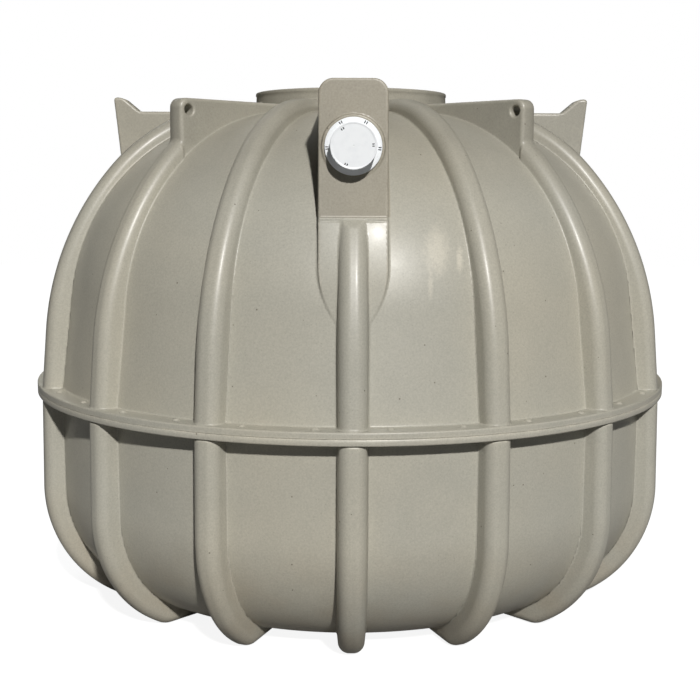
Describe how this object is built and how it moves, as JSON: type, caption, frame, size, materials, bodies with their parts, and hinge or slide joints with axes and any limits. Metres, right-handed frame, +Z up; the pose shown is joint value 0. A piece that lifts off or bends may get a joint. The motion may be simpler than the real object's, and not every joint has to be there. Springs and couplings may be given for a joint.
{
  "type": "septic tank",
  "caption": "Round ribbed plastic septic tank in two flanged halves, with a manhole neck, capped inlet and outlet pipes, rib feet and lifting lugs with eyes.",
  "frame": {"origin": "centre of the tank on the ground plane under its feet", "axes": "+Z up along the tank's axis, -Y towards the capped inlet, +X to the right seen from the inlet"},
  "size_m": [2.2, 2.2, 1.708],
  "materials": {
    "tank_plastic": "satin moulded polyethylene with fine dark specks",
    "white_plastic": "smooth white moulding",
    "black_rubber": "matt moulded rubber",
    "dark_pipe_plastic": "smooth extruded pipe"
  },
  "bodies": {
    "root": {"lower_shell": "tank_plastic", "upper_shell": "tank_plastic", "manhole_neck": "tank_plastic", "inlet_block": "tank_plastic", "outlet_block": "tank_plastic", "inlet_pipe": "dark_pipe_plastic", "inlet_seal": "black_rubber", "inlet_cap": "white_plastic", "outlet_pipe": "dark_pipe_plastic", "outlet_seal": "black_rubber", "outlet_cap": "white_plastic", "upper_rib_01": "tank_plastic", "upper_rib_02": "tank_plastic", "upper_rib_03": "tank_plastic", "upper_rib_04": "tank_plastic", "upper_rib_05": "tank_plastic", "upper_rib_06": "tank_plastic", "upper_rib_07": "tank_plastic", "upper_rib_08": "tank_plastic", "upper_rib_09": "tank_plastic", "upper_rib_10": "tank_plastic", "upper_rib_11": "tank_plastic", "upper_rib_12": "tank_plastic", "upper_rib_13": "tank_plastic", "upper_rib_14": "tank_plastic", "upper_rib_15": "tank_plastic", "upper_rib_16": "tank_plastic", "lower_rib_01": "tank_plastic", "lower_rib_02": "tank_plastic", "lower_rib_03": "tank_plastic", "lower_rib_04": "tank_plastic", "lower_rib_05": "tank_plastic", "lower_rib_06": "tank_plastic", "lower_rib_07": "tank_plastic", "lower_rib_08": "tank_plastic", "lower_rib_09": "tank_plastic", "lower_rib_10": "tank_plastic", "lower_rib_11": "tank_plastic", "lower_rib_12": "tank_plastic", "lower_rib_13": "tank_plastic", "lower_rib_14": "tank_plastic", "lower_rib_15": "tank_plastic", "lower_rib_16": "tank_plastic"}
  },
  "joints": []
}
